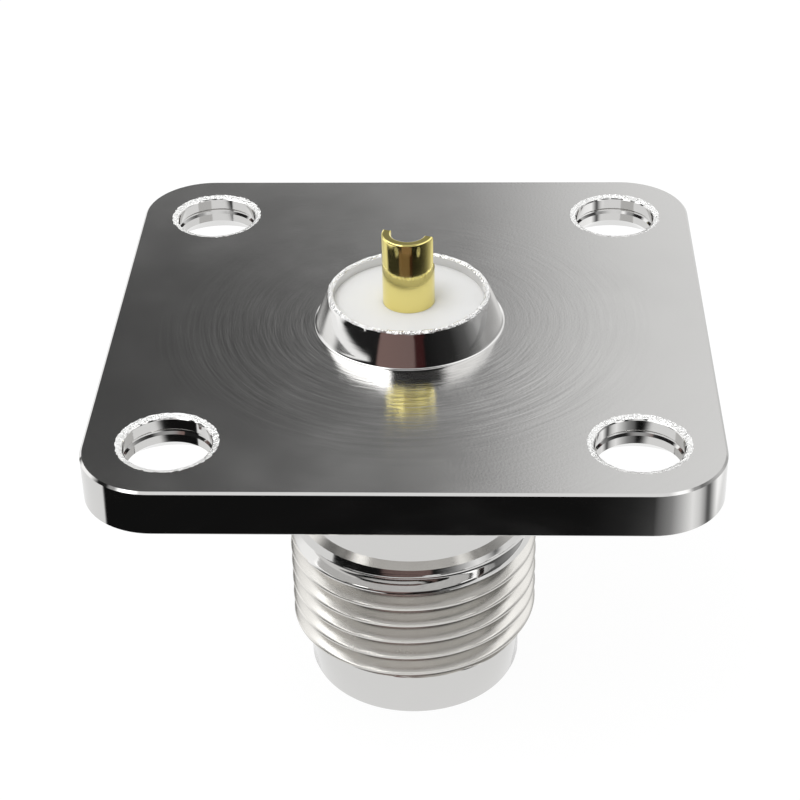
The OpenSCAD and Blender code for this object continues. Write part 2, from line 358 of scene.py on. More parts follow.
def metal(name, colour, roughness, spread, rings, ring_height, streak=0.0, ring_shade=0.0, grain=0.15):
    """A plated metal: roughness varies by spread, and rings are cut ring_height deep, in millimetres.

    ring_shade darkens some rings and lightens others in the base colour, as the painted shade and painted
    highlight of a deep ring. grain is the height of the specks beside that of the rings.
    """
    material = bpy.data.materials.new(name)
    material.use_nodes = True
    tree = material.node_tree
    shader = tree.nodes["Principled BSDF"]
    shader.inputs["Metallic"].default_value = 1.0
    shader.inputs["Anisotropic"].default_value = streak
    shader.inputs["Anisotropic Rotation"].default_value = 0.25 if streak else 0.0
    turned = put(tree, "ShaderNodeGroup", {"node_tree": turning_marks},
                 Rings_per_mm=rings, Fade_round_axis=2.5, Reach=7.5).outputs
    handled = put(tree, "ShaderNodeGroup", {"node_tree": handling_marks}).outputs
    # Painted ring shade: the rings' height darkens or lightens the base colour
    shade = put(tree, "ShaderNodeMapRange", Value=turned["Height"], From_Min=RING_SPAN[0],
                From_Max=RING_SPAN[1], To_Min=1 - ring_shade, To_Max=1 + ring_shade)
    painted_ring_shade_colour = put(tree, "ShaderNodeVectorMath", {"operation": "SCALE"}, Scale=shade.outputs["Result"])
    painted_ring_shade_colour.inputs[0].default_value = colour[:3]
    fill(tree, shader.inputs["Base Color"], painted_ring_shade_colour.outputs[0])
    mixed = calc(tree, "ADD", turned["Patches"], handled["Blotches"])
    gloss = put(tree, "ShaderNodeMapRange", Value=mixed, From_Min=BLOTCH_SPAN[0],
                From_Max=BLOTCH_SPAN[1], To_Min=roughness - spread, To_Max=roughness + spread)
    fill(tree, shader.inputs["Roughness"], gloss.outputs["Result"])
    height = calc(tree, "ADD", turned["Height"], calc(tree, "MULTIPLY", handled["Specks"], grain))
    bump = put(tree, "ShaderNodeBump", Strength=1.0, Distance=ring_height * MM, Height=height)
    fill(tree, shader.inputs["Normal"], bump.outputs["Normal"])
    if streak:
        tangent = put(tree, "ShaderNodeTangent", {"direction_type": "RADIAL", "axis": "Z"})
        fill(tree, shader.inputs["Tangent"], tangent.outputs["Tangent"])
    return material


faced_nickel = metal("faced_nickel", NICKEL, 0.11, 0.02, 6.0, 0.008, streak=0.85, ring_shade=0.10)
bright_nickel = metal("bright_nickel", NICKEL, 0.07, 0.03, 14.0, 0.0008)
# Rough, and lighter than the nickel as a painted highlight on the lip and the hole rims
rough_edge_highlight = metal("rough_edge_highlight", PAINTED_EDGE_HIGHLIGHT, 0.26, 0.10, 8.0, 0.05, grain=2.0)
thread_nickel = metal("thread_nickel", THREAD_NICKEL, 0.23, 0.05, 14.0, 0.001)
gold_plate = metal("gold_plate", GOLD, 0.09, 0.03, 18.0, 0.0008)
print("metals:", [m.name for m in (faced_nickel, bright_nickel, rough_edge_highlight, thread_nickel, gold_plate)])

# %% [markdown]
# ## PTFE
#
# PTFE is a waxy white plastic. A little light enters it and comes back softened, so its edges
# glow instead of going grey. Its rear face was turned too, and shows rings almost too fine to see.

# %% PTFE material
PTFE = (0.94, 0.945, 0.955, 1.0)
HANDLED_SHADE = 0.95
SCATTER_DEPTH = 0.4


def waxy_plastic(name, colour):
    material = bpy.data.materials.new(name)
    material.use_nodes = True
    tree = material.node_tree
    shader = tree.nodes["Principled BSDF"]
    shader.inputs["Subsurface Weight"].default_value = 0.3
    shader.inputs["Subsurface Radius"].default_value = (1.0, 1.0, 1.0)
    shader.inputs["Subsurface Scale"].default_value = SCATTER_DEPTH * MM
    shader.inputs["Specular IOR Level"].default_value = 0.35
    turned = put(tree, "ShaderNodeGroup", {"node_tree": turning_marks},
                 Rings_per_mm=7.0, Fade_round_axis=0.6).outputs
    handled = put(tree, "ShaderNodeGroup", {"node_tree": handling_marks}).outputs
    shade = tuple(HANDLED_SHADE * c for c in colour[:3]) + (1.0,)
    tint = put(tree, "ShaderNodeMix", {"data_type": "RGBA"})
    fill(tree, tint.inputs["Factor"], handled["Blotches"])
    fill(tree, tint.inputs[6], shade)
    fill(tree, tint.inputs[7], colour)
    fill(tree, shader.inputs["Base Color"], tint.outputs[2])
    gloss = put(tree, "ShaderNodeMapRange", Value=handled["Blotches"], To_Min=0.35, To_Max=0.5)
    fill(tree, shader.inputs["Roughness"], gloss.outputs["Result"])
    bump = put(tree, "ShaderNodeBump", Strength=0.6, Distance=0.004 * MM, Height=turned["Height"])
    fill(tree, shader.inputs["Normal"], bump.outputs["Normal"])
    return material


ptfe = waxy_plastic("ptfe", PTFE)
print("plastic:", ptfe.name)

# %% [markdown]
# ## Turned surfaces
#
# A lathe makes a surface by moving a tool along a profile while the work spins. The helper below
# does the same: it takes profile points, as radius and height, and joins their rings with faces.
# Roundings are arcs of points, so that an edge catches a thin line of light.

# %% Lathe helpers
RING_COUNT = 144
HOLE_RING_COUNT = 120


def arc(centre, radius, start, end, steps):
    """Points of an arc, by angle in degrees."""
    turns = [math.radians(start + (end - start) * i / steps) for i in range(steps + 1)]
    return [(centre[0] + radius * math.cos(a), centre[1] + radius * math.sin(a)) for a in turns]


def ring(mesh, radius, z, count, centre=(0.0, 0.0), wobble=None):
    """A closed ring of points. wobble(angle) adds to the radius and the height."""
    points = []
    for i in range(count):
        angle = 2 * math.pi * i / count
        more_r, more_z = wobble(angle) if wobble else (0.0, 0.0)
        x = centre[0] + (radius + more_r) * math.cos(angle)
        y = centre[1] + (radius + more_r) * math.sin(angle)
        points.append(mesh.verts.new(Vector((x, y, z + more_z)) * MM))
    return points


def bridge(mesh, first, second, material):
    """Faces between two rings of the same count."""
    count = len(first)
    for i in range(count):
        j = (i + 1) % count
        mesh.faces.new((first[i], first[j], second[j], second[i])).material_index = material


def lathe(mesh, profile, count, material=0, centre=(0.0, 0.0), wobbles=None, bands=None):
    """Rings along a profile, joined by faces. Returns the first and the last ring.

    bands gives the faces after some points of the profile another material.
    """
    rings = [ring(mesh, r, z, count, centre, (wobbles or {}).get(k)) for k, (r, z) in enumerate(profile)]
    for k, (first, second) in enumerate(zip(rings, rings[1:])):
        bridge(mesh, first, second, (bands or {}).get(k, material))
    return rings[0], rings[-1]


def close_with(mesh, points, z, material):
    """Closes a ring with a fan round a point on the axis."""
    tip = mesh.verts.new(Vector((0, 0, z)) * MM)
    for i, point in enumerate(points):
        mesh.faces.new((point, points[(i + 1) % len(points)], tip)).material_index = material


def flat_face(mesh, loops, material):
    """One flat face with holes, from an outline and the rings of its holes."""
    corners = [v for loop in loops for v in loop]
    for triangle in tessellate_polygon([[v.co for v in loop] for loop in loops]):
        mesh.faces.new([corners[k] for k in triangle]).material_index = material


print("lathe helpers, with", RING_COUNT, "points round the axis and", HOLE_RING_COUNT, "round a hole")

# %% [markdown]
# A finished mesh has its doubled points merged, its faces turned outwards, and its edges marked
# sharp where two faces meet at an angle. The border of a flat face is sharp too, so that the
# face stays truly flat in a reflection.

# %% Finish a mesh
SHARP_ANGLE = math.radians(32)
SLIGHTEST_BEND = 0.01
FLAT = 1e-5
DOUBLES = 0.0002 * MM


def mark_edges(mesh, creases):
    """Smooth faces, with sharp edges at corners, round every flat face and at the heights of creases."""
    def on_crease(edge):
        return any(all(abs(v.co.z / MM - z) < 0.001 for v in edge.verts) for z in creases)

    for face in mesh.faces:
        face.smooth = True
    for edge in mesh.edges:
        if len(edge.link_faces) != 2:
            continue
        a, b = (face.normal for face in edge.link_faces)
        level = abs(abs(a.z) - 1) < FLAT or abs(abs(b.z) - 1) < FLAT
        bend = a.angle(b, 0)
        edge.smooth = not (bend > SHARP_ANGLE or (level and bend > SLIGHTEST_BEND) or on_crease(edge))


def finish_piece(name, mesh, materials, node, creases=()):
    """Turns a bmesh into the piece that stands for a node of the frame."""
    bmesh.ops.remove_doubles(mesh, verts=mesh.verts, dist=DOUBLES)
    bmesh.ops.recalc_face_normals(mesh, faces=mesh.faces)
    mesh.normal_update()
    mark_edges(mesh, creases)
    open_edges = sum(len(edge.link_faces) != 2 for edge in mesh.edges)
    volume = mesh.calc_volume(signed=True) / MM**3
    data = bpy.data.meshes.new(name)
    mesh.to_mesh(data)
    mesh.free()
    for material in materials:
        data.materials.append(material)
    piece = bpy.data.objects.new(name, data)
    bpy.context.scene.collection.objects.link(piece)
    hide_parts(node)
    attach(piece, "root")
    print(f"{name}: {len(data.polygons)} faces, {open_edges} open edges, {volume:.1f} mm3")
    return piece


print("edges that bend more than", round(math.degrees(SHARP_ANGLE)), "degrees are sharp")

# %% [markdown]
# ## The coupling thread
#
# The thread is a groove that climbs round the barrel, 28 turns to the inch. It follows one rule,
# so Geometry Nodes make it: a flat grid is rolled into a tube whose rows climb by one pitch in
# each turn. Where a row is along the pitch sets its radius: full at the crest, cut away at the
# root, and sloping at 60 degrees between. Cones trim the ends, as the lathe tool does. The tool
# leaves the work before the neck, so over the last quarter of a turn the groove grows shallow
# and dies out in a plain land.

# %% Thread node tree
CREST_SHARE = 1 / 8
ROOT_SHARE = 7 / 8 - 2 * DEPTH_SHARE * math.tan(math.radians(30))
CREST_ROUNDING = 0.10
ROWS_PER_PITCH = 24


def build_thread_tree():
    sizes = ["Major radius", "Root radius", "Sleeve radius", "Shoulder radius", "Pitch", "Start", "End",
             "Start turn", "Lead-in", "Land", "Groove stop", "Run-out", "Rounding"]
    tree, given, result = new_group(
        "coupling_thread",
        "GeometryNodeTree",
        [(name, "NodeSocketFloat", 1.0) for name in sizes]
        + [
            ("Steps per turn", "NodeSocketInt", RING_COUNT),
            ("Rows per pitch", "NodeSocketInt", ROWS_PER_PITCH),
            ("Material", "NodeSocketMaterial", None),
        ],
        [("Geometry", "NodeSocketGeometry")],
    )
    length = calc(tree, "SUBTRACT", given["End"], given["Start"])
    turns = calc(tree, "ADD", calc(tree, "CEIL", calc(tree, "DIVIDE", length, given["Pitch"])), 2.0)
    grid = put(tree, "GeometryNodeMeshGrid", Size_X=1.0, Size_Y=1.0)
    fill(tree, grid.inputs["Vertices X"], calc(tree, "ADD", given["Steps per turn"], 1.0))
    rows = calc(tree, "MULTIPLY", turns, given["Rows per pitch"])
    fill(tree, grid.inputs["Vertices Y"], calc(tree, "ADD", rows, 1.0))

    place = put(tree, "ShaderNodeSeparateXYZ", Vector=put(tree, "GeometryNodeInputPosition").outputs[0])
    share_round = calc(tree, "ADD", place.outputs["X"], 0.5)
    turn_number = calc(tree, "MULTIPLY", calc(tree, "ADD", place.outputs["Y"], 0.5), turns)

    # The height climbs with the turn and stops at both ends
    turned = calc(tree, "SUBTRACT", calc(tree, "ADD", turn_number, share_round),
                  calc(tree, "ADD", given["Start turn"], 1.5))
    climbed = calc(tree, "MULTIPLY", turned, given["Pitch"])
    height = calc(tree, "MINIMUM", calc(tree, "MAXIMUM", climbed, 0.0), length)

    # The radius follows the thread's profile: 0 at the middle of the root, 1 at the crest
    phase = calc(tree, "FRACT", turn_number)
    from_root = calc(tree, "MULTIPLY", calc(tree, "ABSOLUTE", calc(tree, "SUBTRACT", phase, 0.5)), 2.0)
    depth = calc(tree, "SUBTRACT", given["Major radius"], given["Root radius"])
    up_flank = calc(tree, "DIVIDE", calc(tree, "SUBTRACT", from_root, ROOT_SHARE),
                    1 - CREST_SHARE - ROOT_SHARE)
    flank = calc(tree, "ADD", given["Root radius"], calc(tree, "MULTIPLY", up_flank, depth))
    crested = calc(tree, "SMOOTH_MIN", flank, given["Major radius"], given["Rounding"])
    threaded = calc(tree, "SMOOTH_MAX", crested, given["Root radius"], given["Rounding"])

    # The groove's share of its depth falls to nothing where the middle of the groove nears its stop
    to_middle = calc(tree, "MULTIPLY", calc(tree, "SUBTRACT", 0.5, phase), given["Pitch"])
    stop = calc(tree, "SUBTRACT", length, given["Groove stop"])
    remaining = calc(tree, "SUBTRACT", stop, calc(tree, "ADD", climbed, to_middle))
    fading = calc(tree, "MULTIPLY", given["Run-out"], given["Pitch"])
    share = put(tree, "ShaderNodeMapRange", Value=remaining, From_Min=0.0,
                From_Max=fading).outputs["Result"]
    cut = calc(tree, "MULTIPLY", share, calc(tree, "SUBTRACT", given["Major radius"], threaded))
    grooved = calc(tree, "SUBTRACT", given["Major radius"], cut)

    # Cones at both ends
    def cone(foot, distance, run):
        slope = calc(tree, "DIVIDE", calc(tree, "SUBTRACT", given["Major radius"], foot), run)
        return calc(tree, "ADD", foot, calc(tree, "MULTIPLY", distance, slope))

    lead = cone(given["Sleeve radius"], height, given["Lead-in"])
    land = cone(given["Shoulder radius"], calc(tree, "SUBTRACT", length, height), given["Land"])
    radius = calc(tree, "MINIMUM", calc(tree, "MINIMUM", grooved, lead), land)

    angle = calc(tree, "MULTIPLY", share_round, 2 * math.pi)
    point = put(tree, "ShaderNodeCombineXYZ", X=calc(tree, "MULTIPLY", radius, calc(tree, "COSINE", angle)),
                Y=calc(tree, "MULTIPLY", radius, calc(tree, "SINE", angle)),
                Z=calc(tree, "ADD", given["Start"], height))
    rolled = put(tree, "GeometryNodeSetPosition", Geometry=grid.outputs["Mesh"], Position=point.outputs[0])
    merged = put(tree, "GeometryNodeMergeByDistance", Geometry=rolled.outputs[0], Distance=DOUBLES)
    real = put(tree, "GeometryNodeRealizeInstances", Geometry=merged.outputs[0])
    painted = put(tree, "GeometryNodeSetMaterial", Geometry=real.outputs[0], Material=given["Material"])
    fill(tree, result.inputs["Geometry"], painted.outputs[0])
    return tree


def bake(name, tree, **values):
    """Runs a Geometry Nodes tree on its own and returns the mesh that it makes."""
    carrier = bpy.data.objects.new(name, bpy.data.meshes.new(name))
    bpy.context.scene.collection.objects.link(carrier)
    modifier = carrier.modifiers.new(name, "NODES")
    modifier.node_group = tree
    keys = {s.name: s.identifier for s in tree.interface.items_tree if s.in_out == "INPUT"}
    for label, value in values.items():
        modifier[keys[label.replace("_", " ").replace(" in", "-in").replace(" out", "-out")]] = value
    bpy.context.view_layer.update()
    evaluated = carrier.evaluated_get(bpy.context.evaluated_depsgraph_get())
    mesh = bpy.data.meshes.new_from_object(evaluated)
    carrier.modifiers.remove(modifier)
    bpy.data.objects.remove(carrier)
    return mesh


thread_mesh = bake(
    "coupling_thread", build_thread_tree(),
    Major_radius=thread_r * MM, Root_radius=root_r * MM, Sleeve_radius=sleeve_r * MM,
    Shoulder_radius=shoulder_r * MM, Pitch=thread_pitch * MM, Start=sleeve_top_z * MM,
    End=shoulder_z * MM, Start_turn=thread_turn, Lead_in=lead_in * MM, Land=(land_l + land_reach) * MM,
    Groove_stop=(groove_stop - shoulder) * MM, Run_out=run_out, Rounding=CREST_ROUNDING * MM,
    Steps_per_turn=RING_COUNT, Rows_per_pitch=ROWS_PER_PITCH, Material=thread_nickel,
)
thread_turns = (shoulder_z - sleeve_top_z) / thread_pitch
print("thread:", len(thread_mesh.polygons), "faces,", round(thread_turns, 1), "turns")

# %% [markdown]
# ## The body
#
# The body was turned from one bar: sleeve, thread, neck, flange, boss and the stepped bore are
# a single piece of brass. So it is a single closed mesh here too. The lathe makes the round
# parts, the flange's outline is a square with round corners, and both share their rings of
# points with the thread and the flat faces. The rim of the boss was rolled over the insulator
# by hand pressure, so its edge wavers slightly.

# %% Body helpers
# The last slot is the rough edge metal, lighter than the nickel as a painted highlight
FACED, BRIGHT, THREADED, ROUGH_HIGHLIGHT = range(4)
CORNER_STEPS = 18


def rounded_square(mesh, half, radius, z):
    """Points round the flange's outline."""
    points = []
    for quarter in range(4):
        side_x, side_y = ((1, 1), (-1, 1), (-1, -1), (1, -1))[quarter]
        for x, y in arc((0, 0), radius, 90 * quarter, 90 * quarter + 90, CORNER_STEPS):
            place = Vector((side_x * (half - radius) + x, side_y * (half - radius) + y, z))
            points.append(mesh.verts.new(place * MM))
    return points


def flange_sides(mesh):
    """The upright sides with broken edges. Returns the outlines of the front and rear faces."""
    steps = [(edge_break, flange_front_z), (0.0, flange_front_z + edge_break),
             (0.0, flange_rear_z - edge_break), (edge_break, flange_rear_z)]
    loops = [rounded_square(mesh, flange_half - inset, corner_r - inset, z) for inset, z in steps]
    for first, second in zip(loops, loops[1:]):
        bridge(mesh, first, second, BRIGHT)
    return loops[0], loops[-1]


def ragged(amount, pitch, seed):
    """A small uneven wobble for an edge that was rolled or left with a burr."""
    def wobble(angle):
        place = Vector((math.cos(angle) * pitch, math.sin(angle) * pitch, seed))
        return amount * noise.noise(place), 0.4 * amount * noise.noise(place + Vector((0, 0, 9)))
    return wobble


def level_ragged(amount, pitch, seed):
    """The same wobble, kept in the plane of the face."""
    wobble = ragged(amount, pitch, seed)
    return lambda angle: (wobble(angle)[0], 0.0)


print("flange outline of", 4 * (CORNER_STEPS + 1), "points")

# %% [markdown]
# Each screw hole has a burred rim behind, a fine groove in its wall and a countersink in front.
# Its wall is a lathe profile too, only with its centre in a corner of the flange.

# %% Screw holes
HOLE_SIDE = [
    (hole_r + hole_break, 0.0),
    (hole_r + 0.5 * hole_break, -0.5 * hole_break_t),
    (hole_r + 0.04, -0.9 * hole_break_t),
    (hole_r, -hole_break_t - 0.04),
    (hole_r, hole_groove_w / 2 - hole_groove_at),
    (hole_r + hole_groove_t, -hole_groove_at + 0.03),
    (hole_r + hole_groove_t, -hole_groove_at - 0.03),
    (hole_r, -hole_groove_w / 2 - hole_groove_at),
    (hole_r, sink_t - flange_t),
    (hole_r + sink_t * math.tan(sink_half_angle), -flange_t),
]


def screw_holes(mesh):
    """The walls of the four holes. Returns their rings in the rear and the front face."""
    rear, front = [], []
    for number, (x, y) in enumerate(((-1, -1), (1, -1), (1, 1), (-1, 1))):
        centre = (x * hole_half_pitch, y * hole_half_pitch)
        side = [(r, flange_rear_z + z) for r, z in HOLE_SIDE]
        wobbles = {0: level_ragged(0.08, 15.0, number), 1: ragged(0.06, 18.0, number + 20),
                   2: ragged(0.03, 18.0, number + 40)}
        # The burred rim gets the rough edge metal, whose lighter colour is a painted highlight
        first, last = lathe(mesh, side, HOLE_RING_COUNT, BRIGHT, centre, wobbles, {0: ROUGH_HIGHLIGHT, 1: ROUGH_HIGHLIGHT})
        rear.append(first)
        front.append(last)
    return rear, front


print("hole wall of", len(HOLE_SIDE), "points")

# %% [markdown]
# One profile runs from the thread over the front rim, up the bore, over the rolled lip and down
# the boss to the rear face. Only the lip's points waver, and only its faces are rough and lighter
# than the nickel, a painted highlight.

# %% Profile from the thread to the rear face
def boss_profile():
    """Down the boss from its lip to the flange: a rolled side that leans in more towards the lip."""
    centre = (boss_r + boss_fillet, flange_rear_z + boss_fillet)
    fillet = arc(centre, boss_fillet, 180 + boss_lean, 270, 5)
    foot_r, foot_z = fillet[0]
    run, rise = foot_r - lip_r, boss_top_z - lip_bevel - foot_z
    turn = math.degrees(math.atan2(run, rise)) - boss_lean
    roll_r = math.hypot(run, rise) / (2 * math.sin(math.radians(turn)))
    lean = math.radians(boss_lean)
    middle = (foot_r - roll_r * math.cos(lean), foot_z - roll_r * math.sin(lean))
    side = arc(middle, roll_r, boss_lean + 2 * turn, boss_lean, 12)
    return side[1:] + fillet[1:]


def lip_profile():
    """The rolled lip: a low crown between two bevels, where the tool let go of it."""
    crown = 0.25 * lip_bevel
    return [(lip_bore_r, boss_top_z - lip_bevel), (lip_bore_r + 0.7 * lip_bevel, boss_top_z - crown),
            ((lip_bore_r + lip_r) / 2, boss_top_z), (lip_r - 0.7 * lip_bevel, boss_top_z - crown),
            (lip_r, boss_top_z - lip_bevel)]


seat_r = insulator_high.x + fit
front_profile = [
    (sleeve_r, sleeve_top_z),
    (sleeve_r, rim_break),
    (sleeve_r - 0.3 * rim_break, 0.3 * rim_break),
    (sleeve_r - rim_break, 0.0),
    (mate_r + rim_break, 0.0),
    (mate_r, rim_break),
    (mate_r, mate_depth),
    (web_r, mate_depth),
    (web_r, mate_depth + web_t),
    (seat_r, mate_depth + web_t),
    (seat_r, face_z - (seat_r - lip_bore_r)),
    (lip_bore_r, face_z),
]
lip = lip_profile()
profile = front_profile + lip + boss_profile()
first_lip = len(front_profile)
lip_wobbles = {first_lip + k: ragged(0.045, 9.0, 3.0 + k) for k in range(1, len(lip))}
lip_bands = {first_lip + k: ROUGH_HIGHLIGHT for k in range(len(lip) - 1)}
print("profile of", len(profile), "points, the lip from point", first_lip)

# %% [markdown]
# The thread, the neck, the profile, the holes and the flange's sides end in rings of points. Two
# flat faces with holes join them, and merging the doubled points makes it one closed shell.

# %% Build the body
def build_body():
    mesh = bmesh.new()
    mesh.from_mesh(thread_mesh)
    for face in mesh.faces:
        on_land = face.calc_center_median().z / MM > land_low_z
        face.material_index = BRIGHT if on_land else THREADED
    front_outline, rear_outline = flange_sides(mesh)
    rear_holes, front_holes = screw_holes(mesh)
    neck = [(root_r, flange_front_z), (root_r, neck_low_z), (shoulder_r, shoulder_z)]
    neck_top = lathe(mesh, neck, RING_COUNT, BRIGHT, bands={1: THREADED})[0]
    boss_foot = lathe(mesh, profile, RING_COUNT, BRIGHT, wobbles=lip_wobbles, bands=lip_bands)[1]
    flat_face(mesh, [rear_outline, boss_foot, *rear_holes], FACED)
    flat_face(mesh, [front_outline, neck_top, *front_holes], FACED)
    return finish_piece("body_shell", mesh, [faced_nickel, bright_nickel, thread_nickel, rough_edge_highlight],
                        "body", creases=(sleeve_top_z, shoulder_z, neck_low_z))


body_shell = build_body()

# %% [markdown]
# ## The insulator
#
# The insulator is one turned plug of PTFE. Its rear face shows inside the rolled lip, and a
# narrow nose stands in the mating bore round the contact. It is a ring all the way through, so
# its profile runs out along the outside and back along the bore, and closes on itself.

# %% Build the insulator
MOUTH = 0.1


def build_insulator():
    finger_top = contact_low.z + slot_l
    outside = [
        (contact_r + finger_room + MOUTH, insulator_low.z),
        (nose_r - nose_break, insulator_low.z),
        (nose_r, insulator_low.z + nose_break),
        (nose_r, mate_depth),
        (web_r - fit, mate_depth),
        (web_r - fit, mate_depth + web_t),
        (insulator_high.x, mate_depth + web_t),
        (insulator_high.x, face_z - (insulator_high.x - lip_bore_r) - fit),
        (lip_bore_r - touch, face_z),
    ]
    bore = [
        (contact_r + touch, face_z),
        (contact_r + fit, face_z - MOUTH),
        (contact_r + fit, finger_top),
        (contact_r + finger_room, finger_top),
        (contact_r + finger_room, insulator_low.z + MOUTH),
    ]
    mesh = bmesh.new()
    first, last = lathe(mesh, outside + bore, RING_COUNT)
    bridge(mesh, last, first, 0)
    return finish_piece("insulator_plug", mesh, [ptfe], "insulator")


insulator_plug = build_insulator()

# %% [markdown]
# ## The centre contact
#
# The contact is a gold-plated rod. In front it is drilled and slotted into four springy fingers.
# Behind it is drilled again as a solder cup, and half of the cup's wall is milled away so that a
# wire can be laid in from the side. The wall that stays is a half ring: its points are the ring's
# points on one side of the cut, so the ledge and the two cut faces meet it without a seam. The
# slots are whole steps of the same rings, counted from the cut.

# %% Contact helpers
CUP_RING_COUNT = 96
SLOT_COUNT = 4
DRILL_HALF_ANGLE = math.radians(59)


def half_rings(mesh, profile, start):
    """The rings of the cup's standing half."""
    half = CUP_RING_COUNT // 2
    rings = []
    for radius, z in profile:
        angles = [start + math.pi * i / half for i in range(half + 1)]
        rings.append([mesh.verts.new(Vector((radius * math.cos(a), radius * math.sin(a), z)) * MM)
                      for a in angles])
    return rings


def turned_ring(mesh, radius, z, start):
    """A full ring whose first point lies on the cut."""
    angles = [start + 2 * math.pi * i / CUP_RING_COUNT for i in range(CUP_RING_COUNT)]
    points = [Vector((radius * math.cos(a), radius * math.sin(a), z)) for a in angles]
    return [mesh.verts.new(point * MM) for point in points]


def slotted_fingers(mesh, outer, inner):
    """The socket's wall, sawn into fingers: a slot has side walls and a roof instead of the wall."""
    pitch = CUP_RING_COUNT // SLOT_COUNT
    width = round(slot_w / (2 * math.pi * contact_r) * CUP_RING_COUNT)

    def wall(first, second, i, j):
        mesh.faces.new((first[i], first[j], second[j], second[i]))

    for i in range(CUP_RING_COUNT):
        j = (i + 1) % CUP_RING_COUNT
        place = (i - pitch // 2) % pitch
        if place < width:
            wall(outer[-1], inner[-1], i, j)
            continue
        wall(outer[0], inner[0], i, j)
        for rings in (outer, inner):
            for first, second in zip(rings, rings[1:]):
                wall(first, second, i, j)
        for edge in [i] * (place == width) + [j] * (place == pitch - 1):
            for k in range(len(outer) - 1):
                mesh.faces.new((outer[k][edge], outer[k + 1][edge], inner[k + 1][edge], inner[k][edge]))


print("contact rings of", CUP_RING_COUNT, "points, with", SLOT_COUNT, "slots")

# %% [markdown]
# The contact is closed ring by ring: the fingers, the rod, the drilled bores with their points,
# the ledge that the milling cutter left, and last the half wall that stands over it.

# %% Build the contact
def build_contact():
    mesh = bmesh.new()
    top, low = contact_high.z, contact_low.z
    cut_z, floor_z = top - cup_cut_l, top - cup_depth
    start = math.pi - cup_turn
    drill_tip = 1 / math.tan(DRILL_HALF_ANGLE)

    rod = [(contact_r - cup_break, low), (contact_r, low + cup_break), (contact_r, low + slot_l),
           (contact_r, cut_z)]
    outer = [turned_ring(mesh, r, z, start) for r, z in rod]
    cup = [turned_ring(mesh, cup_bore_r, z, start) for z in (cut_z, floor_z)]
    socket = [(socket_r + cup_break, low), (socket_r, low + cup_break), (socket_r, low + slot_l),
              (socket_r, low + socket_depth)]
    inner = [turned_ring(mesh, r, z, start) for r, z in socket]
    bridge(mesh, *cup, 0)
    bridge(mesh, *outer[-2:], 0)
    bridge(mesh, *inner[-2:], 0)
    slotted_fingers(mesh, outer[:-1], inner[:-1])
    close_with(mesh, cup[-1], floor_z, 0)
    close_with(mesh, inner[-1], low + socket_depth + socket_r * drill_tip, 0)

    # The ledge that the cutter left on the open side
    half = CUP_RING_COUNT // 2
    for i in range(half, CUP_RING_COUNT):
        j = (i + 1) % CUP_RING_COUNT
        mesh.faces.new((outer[-1][i], outer[-1][j], cup[0][j], cup[0][i]))

    # The half wall: up the outside, over the rounded top and down the bore
    top_edge = arc((contact_r - cup_break, top - cup_break), cup_break, 0, 90, 3)
    inside_edge = arc((cup_bore_r + cup_break / 2, top - cup_break / 2), cup_break / 2, 90, 180, 3)
    wall = half_rings(mesh, [(contact_r, cut_z)] + top_edge + inside_edge + [(cup_bore_r, cut_z)], start)
    for first, second in zip(wall, wall[1:]):
        for i in range(half):
            mesh.faces.new((first[i], first[i + 1], second[i + 1], second[i]))
    for end in (0, half):
        mesh.faces.new([points[end] for points in wall])

    return finish_piece("contact_rod", mesh, [gold_plate], "center_contact")


contact_rod = build_contact()

# %% [markdown]
# ## The studio
#
# Polished metal has no colour of its own to speak of: it shows the room. So the light here is a
# small product studio. A pale floor lies under the part, a soft lamp hangs over it, and round it
# the walls are bright at both sides and dark near the camera, which gives the metal its contrast.
# The camera itself sees only white. The lists below say what a mirror finds in each direction:
# each is a few places on a ramp, and the colours between them blend.

# %% Colours of the room
WHITE = (1.0, 1.0, 1.0, 1.0)


def grey(value):
    return (value, value, value, 1.0)


# Compass round the part, as the angle from the camera's side (-Y) towards +X, in degrees
WALLS = [
    (-180, grey(0.32)),
    (-178, grey(0.24)),
    (-175, grey(0.155)),
    (-171, grey(0.105)),
    (-166, grey(0.07)),
    (-158, grey(0.07)),
    (-147, grey(1.2)),
    (-102, grey(1.3)),
    (-90, grey(0.02)),
    (-38, grey(0.015)),
    (-35, (0.25, 0.165, 0.15, 1.0)),
    (7, (0.22, 0.15, 0.14, 1.0)),
    (9, (0.05, 0.015, 0.015, 1.0)),
    (18, (0.05, 0.015, 0.015, 1.0)),
    (21, grey(0.01)),
    (55, grey(0.03)),
    (75, grey(0.12)),
    (90, grey(0.32)),
    (108, grey(0.75)),
    (122, grey(1.4)),
    (145, grey(1.3)),
    (175, grey(0.90)),
    (178, grey(0.68)),
    (179.3, grey(0.37)),
]

# The floor round the card that the part stands on, and further out, by the same compass
FLOOR_RING = [
    (-180, grey(0.95)),
    (-69, grey(0.95)),
    (-67, grey(0.008)),
    (15, grey(0.008)),
    (19, grey(0.026)),
    (24, grey(0.155)),
    (35, grey(0.32)),
    (45, grey(0.68)),
    (56, grey(1.12)),
    (64, grey(0.87)),
    (70, grey(0.48)),
    (74, grey(0.13)),
    (77, grey(0.15)),
    (81, grey(0.47)),
    (90, grey(1.3)),
    (180, grey(0.95)),
]
FAR_FLOOR = [
    (-180, grey(0.95)),
    (-115, grey(1.2)),
    (-52, grey(1.3)),
    (-46, grey(0.02)),
    (-26, grey(0.015)),
    (-23, (0.22, 0.15, 0.14, 1.0)),
    (15, (0.22, 0.15, 0.14, 1.0)),
    (18, grey(0.015)),
    (50, grey(0.03)),
    (80, grey(0.12)),
    (100, grey(0.38)),
    (125, grey(0.55)),
    (150, grey(0.9)),
    (180, grey(0.95)),
]

